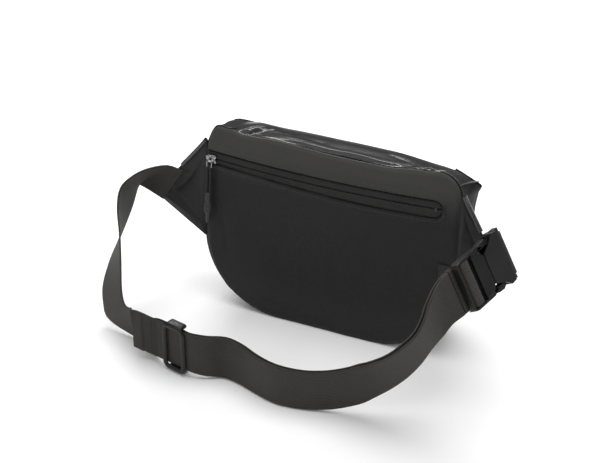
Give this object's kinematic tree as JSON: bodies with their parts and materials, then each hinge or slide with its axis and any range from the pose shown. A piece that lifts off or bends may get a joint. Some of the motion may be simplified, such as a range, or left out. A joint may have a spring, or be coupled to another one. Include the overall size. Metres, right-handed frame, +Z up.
{
  "type": "waist pack",
  "caption": "Soft waist pack with rear and front zips, padded back, hip wings and a webbing belt closed by a side-release buckle and an adjuster.",
  "frame": {"origin": "middle of the flat base, on the surface the pack stands on", "axes": "+X along the pack's width, +Y away from the wearer, +Z up"},
  "size_m": [0.3663, 0.1891, 0.1716],
  "materials": {
    "shell_nylon": "coated nylon pack cloth, slightly glossy",
    "back_nylon": "plain woven nylon, matt",
    "lining": "light polyester lining, matt",
    "foam": "closed-cell foam sheet, matt",
    "webbing": "ribbed polypropylene webbing, matt",
    "binding": "folded nylon binding tape, satin",
    "zip_tape": "woven polyester zip tape, matt",
    "zip_coil": "moulded nylon coil, satin",
    "zip_metal": "die-cast zinc alloy, bright nickel",
    "cord": "braided polyester cord, matt",
    "grip": "moulded thermoplastic rubber, matt",
    "acetal": "moulded acetal, fine satin"
  },
  "bodies": {
    "pack": {"back_panel": "back_nylon", "back_foam": "foam", "rear_pocket_lining": "lining", "rear_zip_tape_upper": "zip_tape", "rear_zip_tape_lower": "zip_tape", "rear_zip_coil": "zip_coil", "rear_zip_stop_left": "zip_metal", "rear_zip_stop_right": "zip_metal", "side_gusset_left": "shell_nylon", "side_gusset_right": "shell_nylon", "base_panel": "shell_nylon", "top_panel": "shell_nylon", "front_corner_left": "shell_nylon", "front_corner_right": "shell_nylon", "main_zip_tape_upper": "zip_tape", "main_zip_coil": "zip_coil", "main_zip_stop_left": "zip_metal", "main_zip_stop_right": "zip_metal", "wing_left": "back_nylon", "wing_right": "back_nylon", "wing_binding_left": "binding", "wing_binding_right": "binding", "side_tag": "binding", "belt_main_left": "webbing", "belt_main_right": "webbing", "belt_return_left": "webbing", "belt_return_right": "webbing", "wing_loop": "webbing", "buckle_female": "acetal"},
    "front": {"front_panel": "shell_nylon", "main_zip_tape_lower": "zip_tape"},
    "rear_slider": {"rear_zip_slider": "zip_metal"},
    "rear_pull": {"rear_zip_puller": "zip_metal", "rear_zip_pull_cord": "cord", "rear_zip_pull_grip": "grip"},
    "main_slider": {"main_zip_slider": "zip_metal"},
    "main_pull": {"main_zip_puller": "zip_metal", "main_zip_pull_cord": "cord", "main_zip_pull_grip": "grip"},
    "buckle_plug": {"buckle_male": "acetal", "buckle_guide": "acetal", "belt_lock_loop": "webbing"},
    "prong_left": {"buckle_prong_left": "acetal"},
    "prong_right": {"buckle_prong_right": "acetal"},
    "adjuster": {"triglide": "acetal"}
  },
  "joints": [
    {"name": "front_open", "type": "hinge", "parent": "pack", "child": "front", "pos_m": [0, 0.0325, 0], "axis": [-1, 0, 0], "range_deg": [0, 12]},
    {"name": "rear_zip_slide", "type": "slide", "parent": "pack", "child": "rear_slider", "axis": [1, 0, 0], "range_m": [0, 0.195]},
    {"name": "rear_pull_swing", "type": "hinge", "parent": "rear_slider", "child": "rear_pull", "pos_m": [-0.107, -0.02244, 0.13917], "axis": [-1, 0, 0], "range_deg": [0, 150]},
    {"name": "main_zip_slide", "type": "slide", "parent": "front", "child": "main_slider", "axis": [-1, 0, 0], "range_m": [0, 0.175]},
    {"name": "main_pull_swing", "type": "hinge", "parent": "main_slider", "child": "main_pull", "pos_m": [0.087, 0.0374, 0.143], "axis": [1, 0, 0], "range_deg": [0, 150]},
    {"name": "buckle_release", "type": "slide", "parent": "pack", "child": "buckle_plug", "axis": [-0.1849, -0.9826, -0.02], "range_m": [0, 0.03], "deforming": ["belt_main_right", "belt_return_right"]},
    {"name": "prong_squeeze", "type": "hinge", "parent": "buckle_plug", "child": "prong_left", "pos_m": [0.16148, -0.0572, 0.10371], "axis": [-0.855, 0.1709, -0.4897], "range_deg": [0, 7], "stiffness_Nm_per_rad": 0.05},
    {"name": "prong_squeeze_right", "type": "hinge", "parent": "buckle_plug", "child": "prong_right", "pos_m": [0.14743, -0.05506, 0.12898], "axis": [0.855, -0.1709, 0.4897], "range_deg": [0, 7], "stiffness_Nm_per_rad": 0.05},
    {"name": "adjuster_slide", "type": "slide", "parent": "pack", "child": "adjuster", "axis": [0.9738, -0.2272, 0], "range_m": [-0.002, 0.002]}
  ],
  "couplings": [
    {"joint": "prong_squeeze_right", "follows": "prong_squeeze", "ratio": 1}
  ]
}
